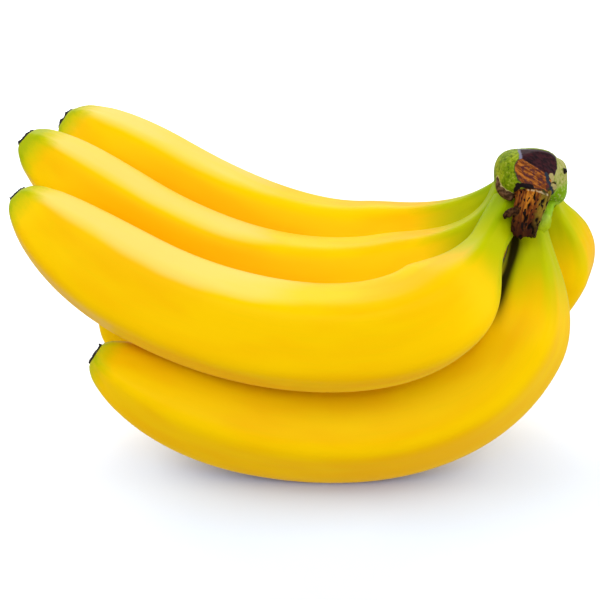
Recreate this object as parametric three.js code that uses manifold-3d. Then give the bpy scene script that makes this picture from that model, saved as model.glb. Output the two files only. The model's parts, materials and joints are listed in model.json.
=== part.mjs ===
// A hand of five dessert bananas, still joined at the crown they were cut with. It lies on the
// outer curves of its two lower fruits. Millimetres, +Z up: X runs from the tips to the crown,
// Y from the front fruits to the rear ones.
import * as THREE from 'three';
import { mergeVertices } from 'three/addons/utils/BufferGeometryUtils.js';
import Module from 'manifold-3d';

const wasm = await Module();
wasm.setup();

// Driving dimensions of every fruit.
const NECK_RADIUS = 6.1; // half the thickness of the stalk that joins the fruit to the crown
const TIP_POWER = 2.2; // how late along its taper the fruit starts to close
const TIP_ROUNDING = 0.55; // how full the taper stays
const BELLY_PLACE = 0.52; // thickest place, as a share of the length from the crown
const BELLY_LOSS = 0.08; // share of the radius lost at both ends of the belly
const FACES = 5; // flat faces round the skin, with a blunt ridge between each two
const RIDGE_POWER = 8; // higher for sharper ridges
const FACE_REACH = 0.945; // distance to the middle of a face, as a share of the mean radius
const FRUIT_SIDES = 20; // four facets to each face
const FRUIT_RINGS = 34;
const RING_CROWDING = 0.6; // how much closer the rings stand at both ends
const GAP = 0.3; // clearance between pieces that grow against each other
const MERGE_WITHIN = 0.0001; // corners this close are one corner

// Each line is the fruit's centre line, from inside the crown to the tip, as the five control
// points of a Bezier curve. Radius is the belly's, stalk is the length that stays thin, shoulder
// is where the fruit reaches its full thickness, taper is the length that closes towards the tip,
// and tip is half the width of the blunt end. Roll turns the faces round the centre line at the
// crown, in degrees, and twist is how much further they have turned at the tip.
const FRUITS = [
  {
    name: 'upper_front',
    line: [[70, 30.5, 89.5], [41, -8, 57.5], [56.5, -21, 72], [-23.5, -4.6, 27], [-94, 33.2, 92.2]],
    radius: 17.3, stalk: 15, shoulder: 47.7, taper: 53, tip: 2.7, roll: 30, twist: -9,
  },
  {
    name: 'lower_front',
    line: [[75, 35.5, 87.5], [87.7, 9.6, 29.7], [44.9, 5.1, 8.3], [-18, 6.8, 8.8], [-68.7, 18.6, 40.5]],
    radius: 18.1, stalk: 5.3, shoulder: 46, taper: 60, tip: 3.2, roll: 67, twist: -20,
  },
  {
    name: 'upper_middle',
    line: [[72, 48, 90], [62, 30, 62], [9, 29, 46], [-42.8, 43.1, 56.7], [-94.5, 65.4, 100.1]],
    radius: 15.3, stalk: 7, shoulder: 56, taper: 44.5, tip: 3.1, roll: 66, twist: 15.5,
  },
  {
    name: 'upper_rear',
    line: [[73.6, 57, 85], [43.3, 69.5, 55.4], [12.8, 67.3, 42.6], [-33.4, 72.3, 67], [-83.6, 96.9, 95.3]],
    radius: 17.2, stalk: 6, shoulder: 59.7, taper: 41.5, tip: 4, roll: 46, twist: 11.5,
  },
  {
    name: 'lower_rear',
    line: [[82, 47.5, 84], [108, 70, 45.5], [49, 54.5, 12.5], [-18, 40, -1.5], [-67.5, 50.5, 44]],
    radius: 18.1, stalk: 5, shoulder: 29, taper: 45, tip: 3.3, roll: 76, twist: 0,
  },
];

// The crown: a cushion that the stalks grow from, with a smaller one beside it. Its front end was
// cut off the plant's stem by two strokes of the knife. The stub of a fruit that was torn off hangs
// below the cut, with a thin web of green skin along it.
const CROWN_CENTRE = [76.1, 40.5, 96.3];
const CROWN_AXIS = [0.1, 0.92, -0.38]; // from the cut end to the rear
const CROWN_HALF = [11.1, 22, 8.9];
const LOBE_CENTRE = [84.5, 40.5, 94.2];
const LOBE_HALF = [5.2, 12, 7.8];
const ROUNDING = 0.7; // 1 for an ellipsoid, lower for a squarer cushion
const CUSHION_SIDES = 28;
const CUSHION_RINGS = 18;
const CUTS = [
  { point: [76.5, 21.9, 103.7], facing: [0.22, -0.82, 0.53] },
  { point: [78.4, 26.2, 107.3], facing: [0.39, -0.53, 0.75] },
];
const STUB_LINE = [[78, 27, 102], [76.8, 22, 96.2], [73.9, 19.5, 91.7], [73.4, 18.5, 84]];
const STUB_HALF = [5.8, 4]; // half its width and thickness
const STUB_SQUARENESS = 4; // 2 for an oval section, higher for a squarer one
const STUB_NARROWING = 0.3; // share of its size that the stub loses at its lower end
const STUB_SIDES = 16;
const WEB_LINE = [[82, 38, 94], [83, 33, 88], [78.5, 27, 79.5]];
const WEB_RADIUS = 3.2;
const WEB_END = 0.4; // share of its radius that the web keeps at its tip
const WEB_SIDES = 10;
const SHORT_RINGS = 8; // along the stub and the web

// The dry dish that the flower left on each tip: shares of the tip's radius, and mm from the skin.
const FLOWER_PROFILE = [
  [0, 0], [0.93, 0], [1.05, 0.4], [0.97, 0.8], [0.68, 0.45], [0.34, 0.45], [0.24, 0.9], [0, 1],
];
const FLOWER_RAGGEDNESS = 0.07;
const FLOWER_SIDES = 16;

// A curve through any number of Bezier control points.
class FruitLine extends THREE.Curve {
  constructor(points) {
    super();
    this.points = points.map((point) => new THREE.Vector3(...point));
  }

  getPoint(t, target = new THREE.Vector3()) {
    let level = this.points.map((point) => point.clone());
    while (level.length > 1) {
      level = level.slice(1).map((point, i) => level[i].clone().lerp(point, t));
    }
    return target.copy(level[0]);
  }
}

// Distance from the centre line to the mean skin, at a share of the length.
function fruitRadius(fruit, share, length) {
  const belly = fruit.radius * (1 - BELLY_LOSS * ((share - BELLY_PLACE) / 0.5) ** 2);
  const grown = THREE.MathUtils.smoothstep(share * length, fruit.stalk, fruit.shoulder);
  const full = NECK_RADIUS + (belly - NECK_RADIUS) * grown;
  const closing = Math.max(0, 1 - (length * (1 - share)) / fruit.taper);
  return fruit.tip + (full - fruit.tip) * (1 - closing ** TIP_POWER) ** TIP_ROUNDING;
}

// Section of the skin: a pentagon with bulging faces and blunt ridges, about 1 in radius.
function fiveFaced(angle) {
  let sum = 0;
  for (let face = 0; face < FACES; face += 1) {
    const off = Math.cos(angle - ((face + 0.5) * 2 * Math.PI) / FACES);
    sum += Math.max(0, off) ** RIDGE_POWER;
  }
  return FACE_REACH * sum ** (-1 / RIDGE_POWER);
}

// Merged, closed geometry to a solid, and a solid back to a geometry.
function toSolid(geometry) {
  const bare = geometry.clone();
  bare.deleteAttribute('normal');
  bare.deleteAttribute('uv');
  const merged = mergeVertices(bare, MERGE_WITHIN);
  return new wasm.Manifold(new wasm.Mesh({
    numProp: 3,
    vertProperties: new Float32Array(merged.attributes.position.array),
    triVerts: new Uint32Array(merged.index.array),
  }));
}

function toGeometry(solid) {
  const mesh = solid.getMesh();
  const geometry = new THREE.BufferGeometry();
  geometry.setAttribute('position', new THREE.BufferAttribute(mesh.vertProperties, 3));
  geometry.setIndex(new THREE.BufferAttribute(mesh.triVerts, 1));
  geometry.computeVertexNormals();
  return geometry;
}

// Bends a closed cylinder along a line. Across is a direction square to the plane that the line
// bends in, so that the section doesn't twist, apart from the turn that turnAt gives it.
function sweep({ line, across, sides, rings, radiusAt, turnAt = () => 0 }) {
  const geometry = new THREE.CylinderGeometry(1, 1, 1, sides, rings);
  const place = geometry.attributes.position;
  for (let i = 0; i < place.count; i += 1) {
    const even = place.getY(i) + 0.5;
    const crowded = even - (RING_CROWDING * Math.sin(2 * Math.PI * even)) / (2 * Math.PI);
    const share = THREE.MathUtils.clamp(crowded, 0, 1);
    const angle = Math.atan2(place.getZ(i), place.getX(i));
    const turned = angle + turnAt(share);
    const along = line.getTangentAt(share);
    const side = across.clone().addScaledVector(along, -across.dot(along)).normalize();
    const inward = side.clone().cross(along);
    const radius = Math.hypot(place.getX(i), place.getZ(i)) * radiusAt(share, angle);
    const centre = line.getPointAt(share);
    centre.addScaledVector(side, radius * Math.cos(turned));
    centre.addScaledVector(inward, radius * Math.sin(turned));
    place.setXYZ(i, centre.x, centre.y, centre.z);
  }
  return geometry;
}

function bendPlane(line) {
  const start = line.getPoint(0);
  const toMiddle = line.getPointAt(0.5).sub(start);
  const toTip = line.getPoint(1).sub(start);
  return toMiddle.cross(toTip).normalize();
}

function fruitSolid(fruit, grow) {
  const line = new FruitLine(fruit.line);
  const length = line.getLength();
  return toSolid(sweep({
    line,
    across: bendPlane(line),
    sides: FRUIT_SIDES,
    rings: FRUIT_RINGS,
    radiusAt: (share, angle) => fruitRadius(fruit, share, length) * fiveFaced(angle) + grow,
    turnAt: (share) => THREE.MathUtils.degToRad(fruit.roll + fruit.twist * share),
  }));
}

// The dish is as ragged as dried petals, each in its own way.
function flowerEnd(fruit, order) {
  const profile = FLOWER_PROFILE.map(([share, height]) => new THREE.Vector2(share * fruit.tip, height));
  const geometry = new THREE.LatheGeometry(profile, FLOWER_SIDES);
  const place = geometry.attributes.position;
  for (let i = 0; i < place.count; i += 1) {
    const angle = Math.atan2(place.getZ(i), place.getX(i));
    const ragged = 1 + FLOWER_RAGGEDNESS * Math.sin(3 * angle + order) * Math.cos(2 * angle - order);
    place.setXYZ(i, place.getX(i) * ragged, place.getY(i), place.getZ(i) * ragged);
  }
  const line = new FruitLine(fruit.line);
  const along = line.getTangent(1);
  const turn = new THREE.Quaternion().setFromUnitVectors(new THREE.Vector3(0, 1, 0), along);
  const foot = line.getPoint(1).addScaledVector(along, GAP);
  geometry.applyQuaternion(turn);
  geometry.translate(foot.x, foot.y, foot.z);
  return toGeometry(toSolid(geometry));
}

// A half space, as a large box behind a plane that passes through a point.
function halfSpace(point, facing, size = 120) {
  const normal = new THREE.Vector3(...facing).normalize();
  const box = new THREE.BoxGeometry(size, size, size);
  box.translate(0, 0, size / 2);
  box.applyQuaternion(new THREE.Quaternion().setFromUnitVectors(new THREE.Vector3(0, 0, 1), normal));
  box.translate(...point);
  return toSolid(box);
}

// A rounded cushion that lies along the crown's axis.
function cushionSolid(centre, half, grow) {
  const geometry = new THREE.SphereGeometry(1, CUSHION_SIDES, CUSHION_RINGS);
  const place = geometry.attributes.position;
  const squared = (value, reach) => Math.sign(value) * Math.abs(value) ** ROUNDING * (reach + grow);
  for (let i = 0; i < place.count; i += 1) {
    const [x, y, z] = [place.getX(i), place.getY(i), place.getZ(i)];
    place.setXYZ(i, squared(x, half[0]), squared(y, half[1]), squared(z, half[2]));
  }
  const along = new THREE.Vector3(...CROWN_AXIS).normalize();
  const right = new THREE.Vector3(1, 0, 0).addScaledVector(along, -along.x).normalize();
  geometry.applyMatrix4(new THREE.Matrix4().makeBasis(right, along, right.clone().cross(along)));
  geometry.translate(...centre);
  return toSolid(geometry);
}

function stubSolid(grow) {
  const [wide, thick] = STUB_HALF.map((half) => half + grow);
  return toSolid(sweep({
    line: new FruitLine(STUB_LINE),
    across: new THREE.Vector3(1, 0, 0),
    sides: STUB_SIDES,
    rings: SHORT_RINGS,
    radiusAt: (share, angle) => {
      const across = Math.abs(Math.cos(angle) / wide) ** STUB_SQUARENESS;
      const through = Math.abs(Math.sin(angle) / thick) ** STUB_SQUARENESS;
      return (1 - STUB_NARROWING * share ** 1.5) * (across + through) ** (-1 / STUB_SQUARENESS);
    },
  }));
}

function webSolid(grow) {
  return toSolid(sweep({
    line: new FruitLine(WEB_LINE),
    across: new THREE.Vector3(1, 0, 0),
    sides: WEB_SIDES,
    rings: SHORT_RINGS,
    radiusAt: (share) => WEB_RADIUS * Math.max(WEB_END, 1 - share ** 8) + grow,
  }));
}

function crownSolid(grow) {
  let solid = cushionSolid(CROWN_CENTRE, CROWN_HALF, grow);
  solid = solid.add(cushionSolid(LOBE_CENTRE, LOBE_HALF, grow));
  solid = solid.add(stubSolid(grow)).add(webSolid(grow));
  for (const cut of CUTS) {
    const normal = new THREE.Vector3(...cut.facing).normalize();
    const point = new THREE.Vector3(...cut.point).addScaledVector(normal, grow);
    solid = solid.subtract(halfSpace(point.toArray(), cut.facing));
  }
  return solid;
}

function addPiece(bunch, name, geometry, color, roughness) {
  const material = new THREE.MeshStandardMaterial({ color, roughness, metalness: 0 });
  const mesh = new THREE.Mesh(geometry, material);
  mesh.name = name;
  bunch.add(mesh);
}

// Each fruit is trimmed by the crown and by the fruits before it, and by the surface it rests on.
const bunch = new THREE.Group();
addPiece(bunch, 'crown', toGeometry(crownSolid(0)), '#86a800', 0.7);
const ground = halfSpace([0, 0, 0], [0, 0, -1], 400);
const taken = [ground, crownSolid(GAP)];
FRUITS.forEach((fruit, order) => {
  const solid = taken.reduce((rest, room) => rest.subtract(room), fruitSolid(fruit, 0));
  taken.push(fruitSolid(fruit, GAP));
  addPiece(bunch, `banana_${fruit.name}`, toGeometry(solid), '#ffd000', 0.45);
  addPiece(bunch, `flower_end_${fruit.name}`, flowerEnd(fruit, order), '#231a12', 0.9);
});

// The origin is under the middle of the bunch, on the surface it rests on.
const box = new THREE.Box3().setFromObject(bunch);
const middle = box.getCenter(new THREE.Vector3());
bunch.position.set(-middle.x, -middle.y, -box.min.z);

export default bunch;
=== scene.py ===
import json
import math

import bmesh
import bpy
import numpy as np
from mathutils import Matrix, Vector, noise
from mathutils.bvhtree import BVHTree

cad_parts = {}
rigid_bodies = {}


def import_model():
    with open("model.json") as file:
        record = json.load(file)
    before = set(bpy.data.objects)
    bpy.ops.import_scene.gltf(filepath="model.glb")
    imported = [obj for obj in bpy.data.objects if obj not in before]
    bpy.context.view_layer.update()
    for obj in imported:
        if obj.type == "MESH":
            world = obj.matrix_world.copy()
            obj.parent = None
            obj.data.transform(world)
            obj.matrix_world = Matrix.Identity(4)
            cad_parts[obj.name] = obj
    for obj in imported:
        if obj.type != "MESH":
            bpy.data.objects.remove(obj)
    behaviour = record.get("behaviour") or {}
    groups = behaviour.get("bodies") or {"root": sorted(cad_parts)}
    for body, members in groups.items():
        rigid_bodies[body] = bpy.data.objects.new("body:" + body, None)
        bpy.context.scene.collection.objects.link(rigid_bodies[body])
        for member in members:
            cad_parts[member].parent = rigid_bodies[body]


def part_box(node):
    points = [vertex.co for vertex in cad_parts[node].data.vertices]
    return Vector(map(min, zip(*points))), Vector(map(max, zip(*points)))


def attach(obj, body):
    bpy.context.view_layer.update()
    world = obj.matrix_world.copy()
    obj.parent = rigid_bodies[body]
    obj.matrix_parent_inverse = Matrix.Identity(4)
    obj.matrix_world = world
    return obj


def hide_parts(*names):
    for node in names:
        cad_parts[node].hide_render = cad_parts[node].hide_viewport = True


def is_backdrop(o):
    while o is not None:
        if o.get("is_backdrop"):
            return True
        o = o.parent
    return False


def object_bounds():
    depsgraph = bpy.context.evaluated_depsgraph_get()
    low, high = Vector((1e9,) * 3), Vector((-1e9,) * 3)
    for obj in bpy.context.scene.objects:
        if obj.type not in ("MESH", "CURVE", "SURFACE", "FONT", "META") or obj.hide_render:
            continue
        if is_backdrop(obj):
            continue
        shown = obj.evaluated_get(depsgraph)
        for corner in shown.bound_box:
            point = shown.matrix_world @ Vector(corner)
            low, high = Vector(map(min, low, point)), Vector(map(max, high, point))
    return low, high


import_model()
packed_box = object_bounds()

# The fruits: five-faced berries that bend up towards the light as they grow. Each is one body of
# soft flesh in a leathery peel, which narrows to a stalk at the crown and to a blunt tip.
MM = 0.001
# The radius along a fruit: its neck, in mm, the place of its belly, in shares of the length, how
# much thinner it is at both ends than there, and the curve in which its tip closes.
NECK_RADIUS = 6.1
BELLY_PLACE = 0.52
BELLY_LOSS = 0.08
TIP_POWER = 2.2
TIP_ROUNDING = 0.55
# Its section: nearly flat faces between blunt ridges.
FACES = 5
RIDGE_POWER = 8
FACE_REACH = 0.945
# Points round it, rings along it, and how much closer the rings stand at its ends.
PEEL_SIDES = 120
PEEL_RINGS = 260
RING_CROWDING = 0.6
# The swelling of the skin and its fine crinkles: how high and how far apart, in mm. The crinkles
# run along the fruit and are deeper at both ends, where the skin dries first.
SWELL_HEIGHT = 0.28
SWELL_WIDTH = 22
CRINKLE_HEIGHT = 0.03
END_CRINKLE_HEIGHT = 0.16
CRINKLE_WIDTH = 2.6
CRINKLE_STRETCH = 0.12
PATTERN_SHIFT = 3.7
# Each fruit's line is the curve of its middle from the crown to the tip, in mm, in the frame that
# the bunch grew in. Its neck widens from stalk to shoulder, in mm from the crown, up to its radius,
# and over the last stretch, taper, it narrows to the radius tip. Its ridges are turned by roll and
# twist, in degrees. The green of its ends reaches further by green, in mm. From 0 to 1,
# painted_sheen is how much painted sheen lies on its upper faces, and side_shade is how much
# painted shade deepens the yellow of its sides.
FRUITS = {
    "upper_front": dict(
        line=[
            (70, 30.5, 89.5), (41, -8, 57.5), (56.5, -21, 72),
            (-23.5, -4.6, 27), (-94, 33.2, 92.2),
        ],
        radius=17.3, stalk=15, shoulder=47.7, taper=53, tip=2.7, roll=30, twist=-9,
        green=0, painted_sheen=1, side_shade=0.15,
    ),
    "lower_front": dict(
        line=[
            (75, 35.5, 87.5), (87.7, 9.6, 29.7), (44.9, 5.1, 8.3),
            (-18, 6.8, 8.8), (-68.7, 18.6, 40.5),
        ],
        radius=18.1, stalk=5.3, shoulder=46, taper=60, tip=3.2, roll=67, twist=-20,
        green=-2, painted_sheen=0, side_shade=0,
    ),
    "upper_middle": dict(
        line=[
            (72, 48, 90), (62, 30, 62), (9, 29, 46),
            (-42.8, 43.1, 56.7), (-94.5, 65.4, 100.1),
        ],
        radius=15.3, stalk=7, shoulder=56, taper=44.5, tip=3.1, roll=66, twist=15.5,
        green=2, painted_sheen=1, side_shade=0.8,
    ),
    "upper_rear": dict(
        line=[
            (73.6, 57, 85), (43.3, 69.5, 55.4), (12.8, 67.3, 42.6),
            (-33.4, 72.3, 67), (-83.6, 96.9, 95.3),
        ],
        radius=17.2, stalk=6, shoulder=59.7, taper=41.5, tip=4, roll=46, twist=11.5,
        green=0, painted_sheen=1, side_shade=0.45,
    ),
    "lower_rear": dict(
        line=[
            (82, 47.5, 84), (108, 70, 45.5), (49, 54.5, 12.5),
            (-18, 40, -1.5), (-67.5, 50.5, 44),
        ],
        radius=18.1, stalk=5, shoulder=29, taper=45, tip=3.3, roll=76, twist=0,
        green=-14, painted_sheen=0.8, side_shade=0,
    ),
}


def smooth(value, low, high):
    """From 0 at low to 1 at high, with a soft start and end."""
    share = np.clip((np.asarray(value, float) - low) / (high - low), 0, 1)
    return share * share * (3 - 2 * share)


def bezier(points, steps):
    """Places on the smooth curve that starts and ends at the first and last point."""
    level = [np.array(point, float)[None, :] for point in points]
    steps = np.asarray(steps, float)[:, None]
    while len(level) > 1:
        level = [a + (b - a) * steps for a, b in zip(level, level[1:])]
    return level[0]


def along_line(points, shares, fine=2000):
    """Places and directions at even shares of the line's length, and the length."""
    steps = np.linspace(0, 1, fine)
    places = bezier(points, steps)
    run = np.concatenate([[0], np.cumsum(np.linalg.norm(np.diff(places, axis=0), axis=1))])
    at = np.interp(np.asarray(shares) * run[-1], run, steps)
    near = 0.0001
    ahead = bezier(points, np.minimum(at + near, 1)) - bezier(points, np.maximum(at - near, 0))
    return bezier(points, at), ahead / np.linalg.norm(ahead, axis=1)[:, None], run[-1]


def bend_plane(points):
    """The direction square to the plane that a fruit's line bends in."""
    start, middle, tip = along_line(points, [0, 0.5, 1])[0]
    across = np.cross(middle - start, tip - start)
    return across / np.linalg.norm(across)


def fruit_radius(fruit, share, length):
    """The fruit's radius at a share of its length, before its faces and crinkles."""
    belly = fruit["radius"] * (1 - BELLY_LOSS * ((share - BELLY_PLACE) / 0.5) ** 2)
    past_neck = smooth(share * length, fruit["stalk"], fruit["shoulder"])
    full = NECK_RADIUS + (belly - NECK_RADIUS) * past_neck
    closing = np.maximum(0, 1 - length * (1 - share) / fruit["taper"])
    return fruit["tip"] + (full - fruit["tip"]) * (1 - closing**TIP_POWER) ** TIP_ROUNDING


def five_faced(angle):
    """How far out the skin lies at an angle round the fruit, as a share of its radius."""
    total = np.zeros_like(angle)
    for face in range(FACES):
        off = np.cos(angle - (face + 0.5) * 2 * np.pi / FACES)
        total += np.maximum(0, off) ** RIDGE_POWER
    return FACE_REACH * total ** (-1 / RIDGE_POWER)


def crowded(count):
    """Shares from 0 to 1 that stand closer together at both ends."""
    even = np.linspace(0, 1, count)
    return np.clip(even - RING_CROWDING * np.sin(2 * np.pi * even) / (2 * np.pi), 0, 1)


def lumps(places, wave):
    """Smooth noise from about -1 to 1, with lumps about a wavelength apart."""
    return np.array([noise.noise(Vector(place)) for place in places / wave])


def swept(points, shares, angles, turn, reach, across):
    """A grid of points round a line, with the line's shares as its rows."""
    centre, along = along_line(points, shares)[:2]
    side = across[None, :] - along * (along @ across)[:, None]
    side /= np.linalg.norm(side, axis=1)[:, None]
    inward = np.cross(side, along)
    turned = angles[None, :] + turn[:, None]
    place = centre[:, None, :] + (reach * np.cos(turned))[..., None] * side[:, None, :]
    return place + (reach * np.sin(turned))[..., None] * inward[:, None, :]


def closed_tube(name, grid, shift):
    """A mesh over a grid of rings, closed by a point in the middle of each end."""
    rings, sides = grid.shape[:2]
    ends = np.stack([grid[0].mean(axis=0), grid[-1].mean(axis=0)])
    places = (np.concatenate([grid.reshape(-1, 3), ends]) + shift) * MM
    row = np.arange(rings - 1)[:, None] * sides
    here = np.arange(sides)[None, :]
    there = (here + 1) % sides
    quads = np.stack([row + here, row + sides + here, row + sides + there, row + there], axis=-1)
    faces = [tuple(quad) for quad in quads.reshape(-1, 4).tolist()]
    foot, head = rings * sides, rings * sides + 1
    last = (rings - 1) * sides
    for side in range(sides):
        following = (side + 1) % sides
        faces.append((foot, side, following))
        faces.append((head, last + following, last + side))
    mesh = bpy.data.meshes.new(name)
    mesh.from_pydata(places.tolist(), [], faces)
    mesh.polygons.foreach_set("use_smooth", [True] * len(mesh.polygons))
    mesh.update()
    return mesh


def keep_values(mesh, name, values, kind="FLOAT"):
    """Stores a number or a vector on every point of a mesh for its material."""
    layer = mesh.attributes.new(name, kind, "POINT")
    field = "value" if kind == "FLOAT" else "vector"
    layer.data.foreach_set(field, np.asarray(values, np.float32).ravel())


def read_points(mesh, field):
    """The place ("co") or the direction ("normal") of every point of a mesh."""
    values = np.empty(3 * len(mesh.vertices), np.float32)
    mesh.vertices.foreach_get(field, values)
    return values.reshape(-1, 3).astype(float)


def show(name, mesh, material, node):
    """Puts a piece in the scene in place of the plain solid that it stands for."""
    piece = bpy.data.objects.new(name, mesh)
    bpy.context.scene.collection.objects.link(piece)
    mesh.materials.append(material)
    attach(piece, "root")
    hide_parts(node)


def peel_grid(fruit):
    """The peel's points in the frame it grew in, in mm, and the facts its material needs."""
    shares = crowded(PEEL_RINGS)
    angles = np.linspace(0, 2 * np.pi, PEEL_SIDES, endpoint=False)
    length = along_line(fruit["line"], [0])[2]
    share, angle = np.meshgrid(shares, angles, indexing="ij")
    reach = fruit_radius(fruit, share, length) * five_faced(angle)
    from_crown = share * length
    to_tip = length - from_crown
    straight = np.stack([from_crown, reach * np.cos(angle), reach * np.sin(angle)], axis=-1)
    # Each fruit takes its patterns from another place, so that no two are marked alike.
    offset = np.array([0, fruit["roll"], fruit["taper"]]) * PATTERN_SHIFT
    flat = straight.reshape(-1, 3) + offset
    swell = lumps(flat * (0.5, 1, 1), SWELL_WIDTH).reshape(share.shape)
    crinkle = lumps(flat * (CRINKLE_STRETCH, 1, 1), CRINKLE_WIDTH).reshape(share.shape)
    # The ends count from where the crown lets go of the stalk, 8 mm on, and fade over 2 cm.
    near_end = 1 - smooth(np.minimum(from_crown - 8, to_tip), 3, 22)
    reach = reach + SWELL_HEIGHT * swell
    reach = reach + crinkle * (CRINKLE_HEIGHT + END_CRINKLE_HEIGHT * near_end)
    turn = np.radians(fruit["roll"] + fruit["twist"] * shares)
    grid = swept(fruit["line"], shares, angles, turn, reach, bend_plane(fruit["line"]))
    # Its weight presses the skin flat where the fruit lies on the table.
    grid[..., 2] = np.maximum(grid[..., 2], 0)
    ridge = smooth(np.cos(FACES * angle), 0.2, 1)
    green = fruit["green"]
    facts = dict(from_crown=from_crown - green, to_tip=to_tip - green, ridge=ridge)
    return grid, facts, straight + offset


peel_grids = {name: peel_grid(fruit) for name, fruit in FRUITS.items()}
# The origin is under the middle of the bunch: the same fruit in both frames tells how far that is.
solid_corner = np.array(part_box("banana_upper_front")[0]) / MM
to_origin = solid_corner - peel_grids["upper_front"][0].min(axis=(0, 1))
to_origin[2] = 0


def colour(code):
    """The linear colour of an sRGB hex code."""
    parts = [int(code[i : i + 2], 16) / 255 for i in (1, 3, 5)]
    return [c / 12.92 if c <= 0.04045 else ((c + 0.055) / 1.055) ** 2.4 for c in parts] + [1]


def add(tree, kind, settings, *sources, out=None, **links):
    """Adds a node and returns what it gives. Sources feed its sockets in order, links by name."""
    node = tree.nodes.new("ShaderNode" + kind)
    for key, value in settings.items():
        setattr(node, key, value)
    sockets = [socket for socket in node.inputs if socket.enabled]
    fed = list(zip(sockets, sources))
    for key, source in links.items():
        fed.append((next(s for s in sockets if s.name == key.replace("_", " ")), source))
    for socket, source in fed:
        if isinstance(source, bpy.types.NodeSocket):
            tree.links.new(source, socket)
        else:
            socket.default_value = colour(source) if isinstance(source, str) else source
    return node.outputs[out] if out else next((s for s in node.outputs if s.enabled), None)


# Settings that many nodes share: mix two colours, map from one range to another with soft ends,
# and multiply by the second value and add the third.
PAINT = dict(data_type="RGBA")
SOFTLY = dict(interpolation_type="SMOOTHSTEP")
PLUS_TIMES = dict(operation="MULTIPLY_ADD")


def new_material(name):
    """A material with a shader and nothing else yet."""
    material = bpy.data.materials.new(name)
    material.use_nodes = True
    tree = material.node_tree
    tree.nodes.clear()
    shader = tree.nodes.new("ShaderNodeBsdfPrincipled")
    add(tree, "OutputMaterial", {}, Surface=shader.outputs[0])
    return material, tree, shader


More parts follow.
